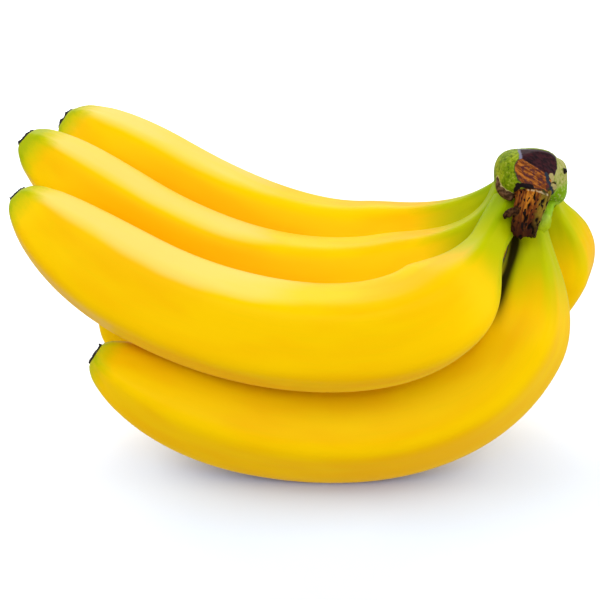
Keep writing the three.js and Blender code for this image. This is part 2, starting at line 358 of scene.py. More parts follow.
# Ripe banana peel: a leathery skin with a thin waxy coat, which gives a soft sheen. A milky painted
# sheen lies on the faces that look up. The green that ripening leaves last fades out from both
# ends.
# Painted shade deepens the yellow of the sides turned from the light, and darkens and warms the
# skin where fruits lie close together.
def ripe_peel():
    material, tree, shader = new_material("ripe_banana_peel")
    straight = add(tree, "Attribute", dict(attribute_name="straight"), out="Vector")
    from_crown, to_tip, ridge, painted_side_shade, painted_sheen_up, painted_crease_shade = (
        add(tree, "Attribute", dict(attribute_name=name), out="Fac")
        for name in ("from_crown", "to_tip", "ridge", "painted_side_shade", "painted_sheen_up", "painted_crease_shade")
    )
    # Patches 45 mm long, fibres 0.9 mm apart and 14 mm long, and pores half a millimetre wide.
    wide = add(tree, "Mapping", {}, straight, Scale=(1 / 45, 1 / 14, 1 / 14))
    patches = add(tree, "TexNoise", {}, Vector=wide, Scale=1.0, Detail=2.0)
    thin = add(tree, "Mapping", {}, straight, Scale=(1 / 14, 1 / 0.9, 1 / 0.9))
    fibres = add(tree, "TexNoise", {}, Vector=thin, Scale=1.0, Detail=3.0, Roughness=0.6)
    fine = add(tree, "Mapping", {}, straight, Scale=(1 / 0.8, 1 / 0.5, 1 / 0.5))
    pores = add(tree, "TexNoise", {}, Vector=fine, Scale=1.0, Detail=2.0)

    # Yellow, in warmer patches and darker streaks, with a painted shade of deeper yellow on the
    # sides turned from the light.
    redder = add(tree, "MapRange", SOFTLY, patches, 0.35, 0.68)
    body = add(tree, "Mix", PAINT, redder, "#FBCE00", "#F8C000")
    streaks = add(tree, "MapRange", SOFTLY, fibres, 0.45, 0.75, 0.0, 0.18)
    body = add(tree, "Mix", PAINT, streaks, body, "#EDCA00")
    # Painted shade: a deeper yellow on the sides turned from the light.
    body = add(tree, "Mix", PAINT, painted_side_shade, body, "#F8B000")

    # Green over the neck, which reaches furthest along the ridges.
    neck = add(tree, "Math", PLUS_TIMES, ridge, -4.0, from_crown)
    neck = add(tree, "Math", PLUS_TIMES, patches, 10.0, neck)
    greenish = add(tree, "MapRange", SOFTLY, neck, 44.0, 24.0)
    body = add(tree, "Mix", PAINT, greenish, body, "#BCC000")
    unripe = add(tree, "MapRange", SOFTLY, neck, 24.0, 8.0, 0.0, 0.85)
    body = add(tree, "Mix", PAINT, unripe, body, "#8CAA00")

    # Painted sheen on the faces that look up, and painted shade in the creases: a warm
    # orange-brown, and by the crown a near-black painted shadow.
    sheen_mask = add(tree, "Math", PLUS_TIMES, patches, 0.5, painted_sheen_up)
    painted_sheen = add(tree, "MapRange", SOFTLY, sheen_mask, 0.9, 1.25, 0.0, 0.8)
    body = add(tree, "Mix", PAINT, painted_sheen, body, "#ECD66A")
    # Painted shade between fruits: a warm orange-brown, and by the crown a near-black painted
    # shadow.
    painted_crease_warmth = add(tree, "MapRange", SOFTLY, painted_crease_shade, 0.35, 0.95, 0.0, 0.45)
    body = add(tree, "Mix", PAINT, painted_crease_warmth, body, "#B46204")
    by_crown = add(tree, "MapRange", SOFTLY, from_crown, 50.0, 34.0)
    painted_crease_shadow = add(tree, "MapRange", SOFTLY, painted_crease_shade, 0.06, 0.42, 0.0, 0.97)
    painted_crease_shadow = add(tree, "Math", dict(operation="MULTIPLY"), painted_crease_shadow, by_crown)
    body = add(tree, "Mix", PAINT, painted_crease_shadow, body, "#241A08")

    # Green again over the last centimetre before the tip.
    tip = add(tree, "Math", PLUS_TIMES, ridge, -1.5, to_tip)
    tip = add(tree, "Math", PLUS_TIMES, fibres, 3.0, tip)
    greenish = add(tree, "MapRange", SOFTLY, tip, 12.0, 4.0)
    body = add(tree, "Mix", PAINT, greenish, body, "#D0C400")
    unripe = add(tree, "MapRange", SOFTLY, tip, 6.0, 1.5, 0.0, 0.9)
    body = add(tree, "Mix", PAINT, unripe, body, "#A4B400")
    tree.links.new(body, shader.inputs["Base Color"])

    waxed = add(tree, "MapRange", {}, patches, 0.0, 1.0, 0.3, 0.38)
    tree.links.new(waxed, shader.inputs["Roughness"])
    shader.inputs["IOR"].default_value = 1.42
    shader.inputs["Specular IOR Level"].default_value = 0.04
    shader.inputs["Sheen Weight"].default_value = 0.05
    shader.inputs["Sheen Roughness"].default_value = 0.3
    relief = add(tree, "Math", PLUS_TIMES, fibres, 0.7, pores)
    bump = add(tree, "Bump", {}, Strength=0.3, Distance=0.06 * MM, Height=relief)
    tree.links.new(bump, shader.inputs["Normal"])
    return material


# How close another fruit has to be for painted shade to fall on the skin, and how close it presses
# on the skin.
SHADE_REACH = 10 * MM
PRESSING = 3 * MM
# How much of that painted shade is taken off the fruits with painted sheen.
SHEEN_SHADE_CUT = 0.6


def crease_shade_depth(mesh, neighbours):
    """Painted shade at every point, from 0 to 1: how near a neighbour is, how squarely the skin
    faces it.
    """
    corners, faces = [], []
    for other in neighbours:
        faces += [[len(corners) + corner for corner in face.vertices] for face in other.polygons]
        corners += [point.co for point in other.vertices]
    skins = BVHTree.FromPolygons(corners, faces)
    depth = np.zeros(len(mesh.vertices))
    for point in mesh.vertices:
        nearest, _, _, gap = skins.find_nearest(point.co, SHADE_REACH)
        if gap:
            towards = point.normal.dot(nearest - point.co) / gap
            depth[point.index] = (1 - gap / SHADE_REACH) * max(towards, 1 - gap / PRESSING, 0)
    return depth


peel = ripe_peel()
peels = {}
for name, (grid, facts, straight) in peel_grids.items():
    mesh = closed_tube(f"peel_{name}", grid, to_origin)
    for fact, values in facts.items():
        # The middle of each end takes the mean of the ring round it.
        facts[fact] = np.append(values, [values[0].mean(), values[-1].mean()])
        keep_values(mesh, fact, facts[fact])
    # The painted sheen lies on what faces up, and thins out from 12 cm to 4 cm before the crown.
    facing_up = read_points(mesh, "normal")[:, 2]
    painted_sheen_up = facing_up * smooth(facts["from_crown"], 40, 120)
    keep_values(mesh, "painted_sheen_up", painted_sheen_up * FRUITS[name]["painted_sheen"])
    # Painted shade: the sides, turned from the light, get a deeper yellow than the top and the
    # ends.
    deeper = smooth(facts["from_crown"], 40, 110) * smooth(facts["to_tip"], 0, 50)
    deeper = deeper * (1 - smooth(facing_up, 0.3, 0.85))
    keep_values(mesh, "painted_side_shade", deeper * FRUITS[name]["side_shade"])
    middles = np.stack([straight[0].mean(axis=0), straight[-1].mean(axis=0)])
    straight = np.concatenate([straight.reshape(-1, 3), middles])
    keep_values(mesh, "straight", straight, "FLOAT_VECTOR")
    peels[name] = mesh
for name, mesh in peels.items():
    painted_crease_shade = crease_shade_depth(mesh, [other for other in peels.values() if other is not mesh])
    # The first stretch of every neck lies inside the crown and gets no painted shade from
    # neighbours.
    past_neck = smooth(peel_grids[name][1]["from_crown"], 6, 14)
    keep_values(mesh, "painted_crease_shade", painted_crease_shade * past_neck * (1 - SHEEN_SHADE_CUT * FRUITS[name]["painted_sheen"]))
    show(f"peel_{name}", mesh, peel, f"banana_{name}")

# The flower ends: the dry scar that the flower left on each tip. It is a thin black crust with a
# ragged rim that has curled up as it dried, and the stump of the style in its middle.
FLOWER_SIDES = 72
FLOWER_RINGS = 40
# Its outline from the middle to the rim: out, in shares of the tip's radius, and up, in mm.
FLOWER_STEPS = [
    (0.12, 0.75), (0.26, 0.7), (0.34, 0.3), (0.6, 0.1), (0.8, 0.15), (0.95, 0.35),
    (1.1, 0.5), (1.2, 0.4), (1.24, 0.1), (1.24, -0.25), (1.15, -0.6),
]
# How far the rim has shrunk inwards, and how high and how wide the crumbs of the crust are, in mm.
RIM_SHRINKING = 0.15
CRUMB_HEIGHT = 0.12
CRUMB_WIDTH = 0.9
# The rim is uneven in two sizes: nubs that stand up, about three to a length of its radius, and
# smaller rags along its edge. Rises are shares of the rim's height, the reach one of its radius.
NUBS_PER_RADIUS = 3.1
NUB_RISE = 1.5
RAGS_PER_RADIUS = 9.0
RAG_RISE = 0.35
RAG_REACH = 0.03


def flower_end(fruit, seed):
    """Rings of points over a tip, in the frame it grew in, from the middle to the rim."""
    steps = np.array(FLOWER_STEPS)
    shares = np.linspace(0, 1, FLOWER_RINGS)
    places = np.linspace(0, 1, len(steps))
    out = np.interp(shares, places, steps[:, 0])
    high = np.interp(shares, places, steps[:, 1])
    angles = np.linspace(0, 2 * np.pi, FLOWER_SIDES, endpoint=False)
    round_trip = np.stack([np.cos(angles), np.sin(angles), np.full_like(angles, seed)], axis=-1)
    nubs = np.maximum(0, lumps(round_trip * NUBS_PER_RADIUS, 1.0)) * NUB_RISE
    ragged = lumps(round_trip * RAGS_PER_RADIUS, 1.0)
    rim = smooth(out, 0.8, 1.1)[:, None]
    turned = angles + math.radians(fruit["roll"] + fruit["twist"])
    out = out * fruit["tip"]
    flat = np.stack([out[:, None] * np.cos(angles), out[:, None] * np.sin(angles)], axis=-1)
    flat = np.concatenate([flat, np.full(flat.shape[:2] + (1,), 7.0 * seed)], axis=-1)
    crumbs = lumps(flat.reshape(-1, 3), CRUMB_WIDTH).reshape(flat.shape[:2])
    reach = out[:, None] * (five_faced(angles)[None, :] + RAG_REACH * rim * ragged[None, :])
    reach = reach - RIM_SHRINKING * rim
    rise = high[:, None] * (1 + rim * (nubs + RAG_RISE * ragged)[None, :]) + CRUMB_HEIGHT * crumbs
    centre, along = along_line(fruit["line"], [1.0])[:2]
    across = bend_plane(fruit["line"])
    side = across - along[0] * (along[0] @ across)
    side /= np.linalg.norm(side)
    inward = np.cross(side, along[0])
    grid = centre[0] + (reach * np.cos(turned))[..., None] * side
    return grid + ((reach * np.sin(turned))[..., None] * inward + rise[..., None] * along[0])


# Dried flower tissue: papery and nearly black, dull, with painted grey-blue highlights in patches.
# Its crumbs are 0.9 mm and its painted highlights 1.6 mm wide.
def dried_flower():
    material, tree, shader = new_material("dried_flower_crust")
    straight = add(tree, "TexCoord", {}, out="Object")
    crumbs = add(tree, "TexNoise", {}, Vector=straight, Scale=1 / (0.9 * MM), Detail=3.0)
    painted_glints = add(tree, "TexNoise", {}, Vector=straight, Scale=1 / (1.6 * MM), Detail=2.0)
    lighter = add(tree, "MapRange", SOFTLY, crumbs, 0.45, 0.7)
    body = add(tree, "Mix", PAINT, lighter, "#0F0C0B", "#33261A")
    # Painted grey-blue highlights.
    painted_glint_share = add(tree, "MapRange", SOFTLY, painted_glints, 0.6, 0.72, 0.0, 0.8)
    body = add(tree, "Mix", PAINT, painted_glint_share, body, "#5C6470")
    tree.links.new(body, shader.inputs["Base Color"])
    shader.inputs["Roughness"].default_value = 0.75
    bump = add(tree, "Bump", {}, Strength=0.6, Distance=0.2 * MM, Height=crumbs)
    tree.links.new(bump, shader.inputs["Normal"])
    return material


crust = dried_flower()
for seed, (name, fruit) in enumerate(FRUITS.items()):
    # Its rings go from the rim to the middle, so that the crust faces away from the fruit.
    grid = flower_end(fruit, seed)[::-1]
    mesh = closed_tube(f"scar_{name}", grid, to_origin)
    show(f"scar_{name}", mesh, crust, f"flower_end_{name}")

# The crown: the woody cushion that all the stalks grow from, under a dull freckled green skin. Two
# strokes of the knife took it off the plant, and the cut flesh has dried orange-brown and black.
# The stub of a fruit that was torn off hangs below, with a thin web of green skin along it.
GRAIN_OF_MESH = 0.3
ROUNDING = 0.7
# Places and half sizes are in mm, in the frame that the bunch grew in.
CROWN_CENTRE = (76.1, 40.5, 96.3)
CROWN_AXIS = (0.1, 0.92, -0.38)
CROWN_HALF = (11.1, 22, 8.9)
LOBE_CENTRE = (84.5, 40.5, 94.2)
LOBE_HALF = (5.2, 12, 7.8)
FIRST_CUT = dict(point=(76.5, 21.9, 103.7), facing=(0.22, -0.82, 0.53))
SECOND_CUT = dict(point=(78.4, 26.2, 107.3), facing=(0.39, -0.53, 0.75))
STUB_LINE = [(78, 27, 102), (76.8, 22, 96.2), (73.9, 19.5, 91.7), (73.4, 18.5, 84)]
STUB_HALF = (5.8, 4)
STUB_LENGTH = 20
STUB_SQUARENESS = 4
STUB_NARROWING = 0.3
WEB_LINE = [(82, 38, 94), (83, 33, 88), (78.5, 27, 79.5)]
WEB_RADIUS = 3.2
WEB_END = 0.4
# Marks on the crown, as paths over its skin, and the four sides of the charred patch.
LEAF_SCAR = [(65.2, 27, 99), (66.3, 24.8, 97), (67.8, 23.3, 96), (69.8, 22.6, 95.2)]
SCAR_RADIUS = 1.9
SHRIVELLED_FLAP = [(71, 18.8, 92), (69.4, 17.5, 93.2), (67.6, 17.1, 92.4), (66.7, 17.3, 90)]
FLAP_RADIUS = 1.35
CHARRED_LEFT = 71.4
CHARRED_RIGHT = 84.3
CHARRED_BACK = 33
CHARRED_LOW = 104
BLACK_NOTCH = [
    (75.3, 19.8, 100.2), (72.2, 19.7, 101), (71, 20, 100.8), (70.3, 20.4, 98.5), (69.8, 19.4, 95.5),
]
SHRUNK_EDGE = [(80.3, 23.2, 103.5), (80.9, 22.1, 101.5), (81.9, 21.1, 99.5), (82.9, 25.7, 95.5)]
PALE_CRACK = [(74.2, 19.8, 99.4), (76.2, 19.7, 99.1), (78.5, 19.5, 98.7), (80.8, 19.6, 97.6)]
TAN_PATCH = [(82.1, 23.4, 102.8), (82.8, 22.4, 101.2), (82.9, 22.3, 99.6), (84, 25.2, 97.8)]
NUB = (87.3, 32.7, 100.8)
NUB_RADIUS = 1.3
ACROSS = np.array([1.0, 0.0, 0.0])


def unit(vector):
    vector = np.array(vector, float)
    return vector / np.linalg.norm(vector)


def cushion_grid(centre, half):
    """A squared-off ellipsoid that lies along the crown's axis."""
    along = unit(CROWN_AXIS)
    right = unit(ACROSS - along * along[0])
    # The rings stop just before both poles, which the tube's ends close.
    off_pole = 0.02
    polar = np.linspace(off_pole, np.pi - off_pole, 60)[:, None]
    angle = np.linspace(0, 2 * np.pi, 96, endpoint=False)[None, :]
    out = np.sin(polar)
    ball = [-out * np.cos(angle), np.cos(polar) + 0 * angle, out * np.sin(angle)]
    squared = [np.sign(v) * np.abs(v) ** ROUNDING * reach for v, reach in zip(ball, half)]
    basis = np.stack([right, along, np.cross(right, along)])
    return np.array(centre) + np.stack(squared, axis=-1) @ basis


def stub_width(share):
    """The stub's width at a share of its length, which shrank towards its torn end."""
    return 1 - STUB_NARROWING * share**1.5


def stub_girth(wide, deep):
    """How far out a place is in the stub's squared-off section: 1 on its surface."""
    over = np.abs(wide / STUB_HALF[0]) ** STUB_SQUARENESS
    over += np.abs(deep / STUB_HALF[1]) ** STUB_SQUARENESS
    return over ** (1 / STUB_SQUARENESS)


def stub_grid():
    """The stub: a flattened rod that leaves the cushion and bends down."""
    shares = np.linspace(0, 1, 50)
    angles = np.linspace(0, 2 * np.pi, 80, endpoint=False)
    reach = stub_width(shares)[:, None] / stub_girth(np.cos(angles), np.sin(angles))[None, :]
    return swept(STUB_LINE, shares, angles, 0 * shares, reach, ACROSS)


def web_grid():
    """The web: a thick cord of green skin from the lobe to the foot of the stub."""
    shares = np.linspace(0, 1, 40)
    angles = np.linspace(0, 2 * np.pi, 40, endpoint=False)
    reach = WEB_RADIUS * np.maximum(WEB_END, 1 - shares**8)[:, None] + 0 * angles[None, :]
    return swept(WEB_LINE, shares, angles, 0 * shares, reach, ACROSS)


def ridge_grid(path, radius):
    """A tube along the curve that a path pulls it into, about half as thick at its ends."""
    shares = np.linspace(0, 1, 30)
    angles = np.linspace(0, 2 * np.pi, 24, endpoint=False)
    reach = radius * (0.55 + 0.45 * np.sin(np.pi * shares))[:, None] + 0 * angles[None, :]
    return swept(path, shares, angles, 0 * shares, reach, np.array([0.0, 1.0, 0.0]))


def grown_together(grids):
    """One mesh in mm over all the grids, remeshed so that they flow into each other."""
    joined = bmesh.new()
    for grid in grids:
        tube = closed_tube("crown_part", grid, np.zeros(3))
        joined.from_mesh(tube)
        bpy.data.meshes.remove(tube)
    rough = bpy.data.meshes.new("crown_rough")
    joined.to_mesh(rough)
    joined.free()
    rough.transform(Matrix.Scale(1 / MM, 4))
    body = bpy.data.objects.new("crown_rough", rough)
    bpy.context.scene.collection.objects.link(body)
    remesh = body.modifiers.new("remesh", "REMESH")
    remesh.mode = "VOXEL"
    remesh.voxel_size = GRAIN_OF_MESH
    soften = body.modifiers.new("soften", "SMOOTH")
    soften.factor = 0.5
    soften.iterations = 10
    depsgraph = bpy.context.evaluated_depsgraph_get()
    mesh = bpy.data.meshes.new_from_object(body.evaluated_get(depsgraph))
    bpy.data.objects.remove(body)
    bpy.data.meshes.remove(rough)
    return mesh


def near_path(places, path):
    """Distance from each place to a path of straight lines."""
    nearest = np.full(len(places), np.inf)
    for start, end in zip(np.array(path[:-1], float), np.array(path[1:], float)):
        step = end - start
        share = np.clip((places - start) @ step / (step @ step), 0, 1)
        off = places - start - share[:, None] * step
        nearest = np.minimum(nearest, np.linalg.norm(off, axis=1))
    return nearest


def off_stalks(places):
    """Height of each place over the nearest fruit's skin."""
    nearest = np.full(len(places), np.inf)
    for fruit in FRUITS.values():
        line = along_line(fruit["line"], np.linspace(0, 0.2, 25))[0]
        gaps = np.linalg.norm(places[:, None, :] - line[None, :, :], axis=2)
        nearest = np.minimum(nearest, gaps.min(axis=1) - NECK_RADIUS)
    return nearest


def above(places, cut):
    """How far each place stands over the plane of a cut, in mm."""
    return (places - np.array(cut["point"])) @ unit(cut["facing"])


def stub_place(places):
    """Share along the stub's line, and how far across, through and past it each place is, in mm."""
    shares = np.linspace(0, 1, 60)
    centre, along = along_line(STUB_LINE, shares)[:2]
    gaps = np.linalg.norm(places[:, None, :] - centre[None, :, :], axis=2)
    nearest = gaps.argmin(axis=1)
    side = ACROSS[None, :] - along * along[:, :1]
    side /= np.linalg.norm(side, axis=1)[:, None]
    inward = np.cross(side, along)
    off = places - centre[nearest]
    wide = np.sum(off * side[nearest], axis=1)
    deep = np.sum(off * inward[nearest], axis=1)
    return shares[nearest], wide, deep, np.sum(off * along[nearest], axis=1), along[nearest]


def carve_crown(mesh):
    """Cuts and roughens the crown, and stores on it what each point is made of."""
    places = read_points(mesh, "co")
    # Twice, because the second cut brings some points back over the first.
    for _ in range(2):
        for cut in (FIRST_CUT, SECOND_CUT):
            places -= np.maximum(0, above(places, cut))[:, None] * unit(cut["facing"])
    mesh.vertices.foreach_set("co", places.ravel())
    mesh.update()
    normal = read_points(mesh, "normal")

    # How far inside the edge of each tissue a point lies, in mm, and from that its share of it. The
    # stub's wood starts a tenth of the way down its line, and reaches a little past its section.
    first, second = above(places, FIRST_CUT), above(places, SECOND_CUT)
    share, wide, deep, beyond, along = stub_place(places)
    size = stub_width(share)
    girth = stub_girth(wide / size, deep / size)
    stub = np.minimum((1.15 - girth) * STUB_HALF[1], (share - 0.1) * 15)
    stub = np.minimum(stub, -np.maximum(first, second) - 0.25)
    web = WEB_RADIUS + 0.5 - near_path(places, WEB_LINE)
    web = np.minimum(web, -stub - 0.2)
    flap = FLAP_RADIUS - near_path(places, SHRIVELLED_FLAP)
    nub = NUB_RADIUS - np.linalg.norm(places - NUB, axis=1)
    on_first = smooth(first, -0.25, -0.05)
    on_second = smooth(second, -0.25, -0.05)
    on_stub = smooth(stub, -0.2, 0.3)
    on_web = smooth(web, -0.3, 0.3)
    on_skin = 1 - np.maximum.reduce([on_first, on_second, on_stub, on_web])

    # The strings of the cut flesh run along the edge between the cuts, the wood's down the stub.
    run = unit(np.cross(unit(FIRST_CUT["facing"]), unit(SECOND_CUT["facing"])))
    over = np.cross(unit(FIRST_CUT["facing"]), run)
    cut_grain = np.stack([places @ run, places @ over, places @ unit(FIRST_CUT["facing"])], axis=-1)
    grain = np.stack([share * STUB_LENGTH + beyond, wide, deep], axis=-1)
    fibres = lumps(grain * (0.12, 1, 1), 1.2)
    holes = smooth(lumps(grain * (0.55, 1, 1) + 9.0, 1.1), 0.2, 0.45)

    # Relief: heights in mm times lumps, which are a width in mm and stretched along the grain.
    rise = on_skin * (0.2 * lumps(places, 6.0) + 0.1 * lumps(places, 1.6))
    strings = 0.3 * lumps(cut_grain * (0.3, 1, 1), 1.3)
    rise += on_first * (strings + 0.15 * lumps(places, 0.8) - 0.15)
    strings = 0.3 * lumps(cut_grain * (0.4, 1, 1), 3.0)
    rise += on_second * (strings + 0.1 * lumps(places, 1.0) - 0.2)
    rise += on_stub * (0.35 * fibres - 0.7 * holes + 0.12 * lumps(places, 0.7))
    rise += on_web * (0.9 * lumps(places + 5.0, 3.0) + 0.3 * lumps(places, 1.3))
    rise += smooth(flap, -0.6, 0) * 0.7 * lumps(places, 1.3)
    rise += 1.1 * smooth(nub, 0, 1)
    places += rise[:, None] * normal
    torn = on_stub * smooth(share, 0.8, 1.0)
    splinters = 1.4 * lumps(grain * (0, 1, 1), 1.7) + 0.8 * lumps(grain, 0.8)
    places += (torn * splinters)[:, None] * along
    mesh.vertices.foreach_set("co", ((places + to_origin) * MM).ravel())
    mesh.update()

    sides = np.minimum(places[:, 0] - CHARRED_LEFT, CHARRED_RIGHT - places[:, 0])
    charred = np.minimum(sides, np.minimum(CHARRED_BACK - places[:, 1], places[:, 2] - CHARRED_LOW))
    marks = dict(
        first_cut=first,
        second_cut=second,
        stub=stub,
        web=web,
        down_stub=share,
        across_stub=wide,
        holes=holes,
        flap=flap,
        nub=nub,
        charred=charred,
        leaf_scar=SCAR_RADIUS + 0.4 - near_path(places, LEAF_SCAR),
        notch=1.1 - near_path(places, BLACK_NOTCH),
        shrunk_edge=0.9 - near_path(places, SHRUNK_EDGE),
        crack=0.5 - near_path(places, PALE_CRACK),
        tan_patch=1 - near_path(places, TAN_PATCH),
        off_stalks=off_stalks(places),
    )
    for name, values in marks.items():
        keep_values(mesh, name, values)
    keep_values(mesh, "grown", places, "FLOAT_VECTOR")
    keep_values(mesh, "grain", grain, "FLOAT_VECTOR")
    keep_values(mesh, "cut_grain", cut_grain, "FLOAT_VECTOR")


# Cut flesh: the strings in it are 0.7 mm apart and 5 mm long, and dried orange-brown, with purple
# spots a millimetre or two wide. The second cut is charred, with ash along the strings.
def cut_flesh(tree):
    cut_grain = add(tree, "Attribute", dict(attribute_name="cut_grain"), out="Vector")
    along_cut = add(tree, "Mapping", {}, cut_grain, Scale=(1 / 5, 1 / 0.7, 1 / 0.7))
    strings = add(tree, "TexNoise", {}, Vector=along_cut, Scale=1.0, Detail=3.0, Roughness=0.65)
    blots = add(tree, "Mapping", {}, cut_grain, Scale=(1 / 1.8, 1 / 1, 1 / 1))
    spots = add(tree, "TexNoise", {}, Vector=blots, Scale=1.0, Detail=3.0, Roughness=0.6)
    light_strings = add(tree, "MapRange", SOFTLY, strings, 0.4, 0.66)
    flesh = add(tree, "Mix", PAINT, light_strings, "#6E3616", "#B86E28")
    purple = add(tree, "MapRange", SOFTLY, spots, 0.47, 0.57, 0.0, 0.9)
    flesh = add(tree, "Mix", PAINT, purple, flesh, "#4C2428")
    less_burnt = add(tree, "MapRange", SOFTLY, spots, 0.35, 0.65)
    char = add(tree, "Mix", PAINT, less_burnt, "#1E1016", "#3C1A20")
    ashen = add(tree, "MapRange", SOFTLY, strings, 0.6, 0.75, 0.0, 0.35)
    char = add(tree, "Mix", PAINT, ashen, char, "#4E4A5A")
    return flesh, char


# The stub's torn wood: stripes 0.8 mm apart and 9 mm long, orange in the middle, olive towards the
# web and darker towards the torn end, with black pits and holes and a pale crack across its top.
def torn_wood(tree, wander, in_crack):
    grain = add(tree, "Attribute", dict(attribute_name="grain"), out="Vector")
    across, down, holes = (
        add(tree, "Attribute", dict(attribute_name=name), out="Fac")
        for name in ("across_stub", "down_stub", "holes")
    )
    along_stub = add(tree, "Mapping", {}, grain, Scale=(1 / 9, 1 / 0.8, 1 / 0.8))
    stripes = add(tree, "TexNoise", {}, Vector=along_stub, Scale=1.0, Detail=3.0, Roughness=0.65)
    across = add(tree, "Math", PLUS_TIMES, wander, 2.0, across)
    down = add(tree, "Math", PLUS_TIMES, wander, 0.3, down)
    light_stripes = add(tree, "MapRange", SOFTLY, stripes, 0.42, 0.64)
    wood = add(tree, "Mix", PAINT, light_stripes, "#5A240E", "#8E5218")
    light_stripes = add(tree, "MapRange", SOFTLY, stripes, 0.4, 0.6)
    heart = add(tree, "Mix", PAINT, light_stripes, "#7C3C0E", "#C07820")
    off_middle = add(tree, "Math", dict(operation="ABSOLUTE"), across)
    off_middle = add(tree, "Math", PLUS_TIMES, down, 3.5, off_middle)
    in_heart = add(tree, "MapRange", SOFTLY, off_middle, 4.4, 2.6)
    wood = add(tree, "Mix", PAINT, in_heart, wood, heart)
    by_web = add(tree, "MapRange", SOFTLY, across, 2.2, 4.2, 0.0, 0.75)
    wood = add(tree, "Mix", PAINT, by_web, wood, "#847622")
    # Darker towards the torn end.
    darker_down = add(tree, "MapRange", SOFTLY, down, 0.7, 1.05, 0.0, 0.85)
    wood = add(tree, "Mix", PAINT, darker_down, wood, "#2A100C")
    worn = add(tree, "Mapping", {}, grain, Scale=(1 / 1.5, 1 / 0.9, 1 / 0.9), Location=(3, 1, 7))
    pits = add(tree, "TexNoise", {}, Vector=worn, Scale=1.0, Detail=1.0)
    pitted = add(tree, "MapRange", SOFTLY, pits, 0.59, 0.64)
    wood = add(tree, "Mix", PAINT, pitted, wood, "#140B0A")
    wood = add(tree, "Mix", PAINT, holes, wood, "#120B0A")
    cracked = add(tree, "MapRange", SOFTLY, in_crack, 0.1, 0.3, 0.0, 0.7)
    wood = add(tree, "Mix", PAINT, cracked, wood, "#C8B088")
    return wood, stripes


